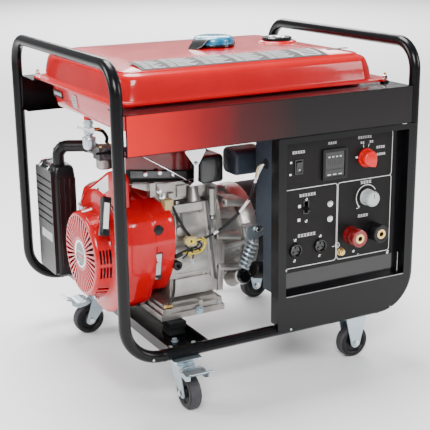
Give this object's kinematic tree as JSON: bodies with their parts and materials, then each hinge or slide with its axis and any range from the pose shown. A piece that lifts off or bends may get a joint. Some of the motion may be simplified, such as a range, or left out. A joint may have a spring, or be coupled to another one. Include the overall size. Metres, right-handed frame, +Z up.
{
  "type": "engine driven welder",
  "caption": "Petrol engine, alternator, fuel tank and welding control box in an open tube frame that rolls on casters; the starter is at one end and the controls face the side.",
  "frame": {"origin": "middle of the footprint of the whole machine, on the floor under its wheels", "axes": "+X towards the control box end, away from the recoil starter; +Y away from the operator, who stands on the control panel's side; +Z up"},
  "size_m": [0.735, 0.6924, 0.7345],
  "materials": {
    "black_powder_coat": "satin powder coat",
    "red_paint": "glossy",
    "panel_black": "satin, printed lines",
    "case_grey": "satin",
    "cast_aluminium": "as cast",
    "zinc": "zinc plated",
    "steel": "machined",
    "brass": "turned",
    "copper_iron": "varnished windings on laminations",
    "rubber": "matt",
    "wheel_rubber": "matt tread",
    "black_plastic": "satin",
    "red_plastic": "glossy",
    "blue_film": "protective film, glossy",
    "heat_black": "heat resistant, matt"
  },
  "bodies": {
    "machine": {"left_hoop": "black_powder_coat", "right_hoop": "black_powder_coat", "base_frame": "black_powder_coat", "front_channel": "black_powder_coat", "rear_channel": "black_powder_coat", "caster_fl_plate": "zinc", "caster_rl_plate": "zinc", "caster_fr_fork": "zinc", "caster_rr_fork": "zinc", "tank_upper_shell": "red_paint", "tank_lower_shell": "red_paint", "fuel_gauge": "black_plastic", "fuel_valve": "zinc", "control_cover": "black_powder_coat", "control_panel": "panel_black", "control_box_case": "case_grey", "weld_meter": "black_plastic", "outlet_left": "black_plastic", "outlet_right": "black_plastic", "weld_terminal_red": "red_plastic", "weld_terminal_black": "black_plastic", "earth_terminal": "brass", "crankcase": "cast_aluminium", "crankcase_cover": "cast_aluminium", "cylinder_block": "cast_aluminium", "cylinder_head": "cast_aluminium", "blower_housing": "red_paint", "recoil_cover": "red_paint", "carburettor": "cast_aluminium", "air_cleaner": "black_plastic", "muffler": "heat_black", "alternator_housing": "steel", "alternator_end_cover": "cast_aluminium", "engine_mount_front": "rubber", "engine_mount_rear": "rubber", "alternator_mount": "rubber", "control_lead": "rubber"},
    "fl_swivel": {"caster_fl_fork": "zinc"},
    "fl_wheel": {"caster_fl_wheel": "wheel_rubber"},
    "fl_brake": {"caster_fl_pedal": "zinc"},
    "rl_swivel": {"caster_rl_fork": "zinc"},
    "rl_wheel": {"caster_rl_wheel": "wheel_rubber"},
    "rl_brake": {"caster_rl_pedal": "zinc"},
    "fr_wheel": {"caster_fr_wheel": "wheel_rubber"},
    "rr_wheel": {"caster_rr_wheel": "wheel_rubber"},
    "crank": {"crankshaft": "steel", "flywheel": "cast_aluminium", "alternator_rotor": "copper_iron"},
    "starter_handle": {"pull_handle": "black_plastic"},
    "starter_pulley": {"recoil_pulley": "black_plastic"},
    "cap": {"fuel_cap": "blue_film"},
    "valve_lever": {"fuel_valve_lever": "zinc"},
    "choke": {"choke_lever": "black_plastic"},
    "oil_dipstick": {"dipstick": "black_plastic"},
    "rocker": {"mode_rocker": "black_plastic"},
    "selector": {"selector_knob": "red_plastic"},
    "current": {"current_knob": "zinc"},
    "breaker": {"breaker_toggle": "black_plastic"},
    "reset_upper": {"reset_button_upper": "zinc"},
    "reset_lower": {"reset_button_lower": "zinc"}
  },
  "joints": [
    {"name": "caster_fl_swivel_turn", "type": "hinge", "parent": "machine", "child": "fl_swivel", "pos_m": [-0.222, -0.25375, 0.0997], "axis": [0, 0, 1], "continuous": true},
    {"name": "caster_fl_wheel_spin", "type": "hinge", "parent": "fl_swivel", "child": "fl_wheel", "pos_m": [-0.222, -0.28375, 0.0375], "axis": [1, 0, 0], "continuous": true},
    {"name": "caster_fl_brake_press", "type": "hinge", "parent": "fl_swivel", "child": "fl_brake", "pos_m": [-0.222, -0.28775, 0.089], "axis": [1, 0, 0], "range_deg": [0, 18]},
    {"name": "caster_rl_swivel_turn", "type": "hinge", "parent": "machine", "child": "rl_swivel", "pos_m": [-0.222, 0.20825, 0.0997], "axis": [0, 0, 1], "continuous": true},
    {"name": "caster_rl_wheel_spin", "type": "hinge", "parent": "rl_swivel", "child": "rl_wheel", "pos_m": [-0.252, 0.20825, 0.0375], "axis": [0, -1, 0], "continuous": true},
    {"name": "caster_rl_brake_press", "type": "hinge", "parent": "rl_swivel", "child": "rl_brake", "pos_m": [-0.256, 0.20825, 0.089], "axis": [0, -1, 0], "range_deg": [0, 18]},
    {"name": "caster_fr_wheel_spin", "type": "hinge", "parent": "machine", "child": "fr_wheel", "pos_m": [0.23, -0.23075, 0.0375], "axis": [0, 1, 0], "continuous": true},
    {"name": "caster_rr_wheel_spin", "type": "hinge", "parent": "machine", "child": "rr_wheel", "pos_m": [0.23, 0.21925, 0.0375], "axis": [0, 1, 0], "continuous": true},
    {"name": "crankshaft_spin", "type": "hinge", "parent": "machine", "child": "crank", "pos_m": [0, 0.01125, 0.275], "axis": [1, 0, 0], "continuous": true},
    {"name": "recoil_handle_pull", "type": "slide", "parent": "machine", "child": "starter_handle", "axis": [0, -0.91, 0.4147], "range_m": [0, 0.12], "stiffness_N_per_m": 40, "springref_m": -0.05},
    {"name": "recoil_pulley_spin", "type": "hinge", "parent": "machine", "child": "starter_pulley", "pos_m": [-0.318, 0.01125, 0.275], "axis": [1, 0, 0], "range_deg": [0, 124]},
    {"name": "fuel_cap_lift", "type": "slide", "parent": "machine", "child": "cap", "axis": [0, 0, 1], "range_m": [0, 0.06]},
    {"name": "fuel_valve_turn", "type": "hinge", "parent": "machine", "child": "valve_lever", "pos_m": [-0.292, 0.0325, 0.5447], "axis": [0, -1, 0], "range_deg": [0, 90]},
    {"name": "choke_turn", "type": "hinge", "parent": "machine", "child": "choke", "pos_m": [-0.249, 0.04095, 0.49], "axis": [0, -1, 0], "range_deg": [0, 50]},
    {"name": "dipstick_pull", "type": "slide", "parent": "machine", "child": "oil_dipstick", "axis": [0, -0.9404, 0.3401], "range_m": [0, 0.07]},
    {"name": "mode_rocker_tilt", "type": "hinge", "parent": "machine", "child": "rocker", "pos_m": [0.06, -0.25425, 0.479], "axis": [-1, 0, 0], "range_deg": [0, 14]},
    {"name": "selector_turn", "type": "hinge", "parent": "machine", "child": "selector", "pos_m": [0.235, -0.25825, 0.479], "axis": [0, -1, 0], "range_deg": [0, 135]},
    {"name": "current_turn", "type": "hinge", "parent": "machine", "child": "current", "pos_m": [0.24, -0.25825, 0.389], "axis": [0, -1, 0], "range_deg": [0, 270]},
    {"name": "breaker_tilt", "type": "hinge", "parent": "machine", "child": "breaker", "pos_m": [0.08, -0.25425, 0.388], "axis": [-1, 0, 0], "range_deg": [0, 40]},
    {"name": "reset_upper_push", "type": "slide", "parent": "machine", "child": "reset_upper", "axis": [0, 1, 0], "range_m": [0, 0.002], "stiffness_N_per_m": 300, "springref_m": -0.002},
    {"name": "reset_lower_push", "type": "slide", "parent": "machine", "child": "reset_lower", "axis": [0, 1, 0], "range_m": [0, 0.002], "stiffness_N_per_m": 300, "springref_m": -0.002}
  ],
  "couplings": [
    {"joint": "recoil_pulley_spin", "follows": "recoil_handle_pull", "rad_per_m": 17.986}
  ]
}
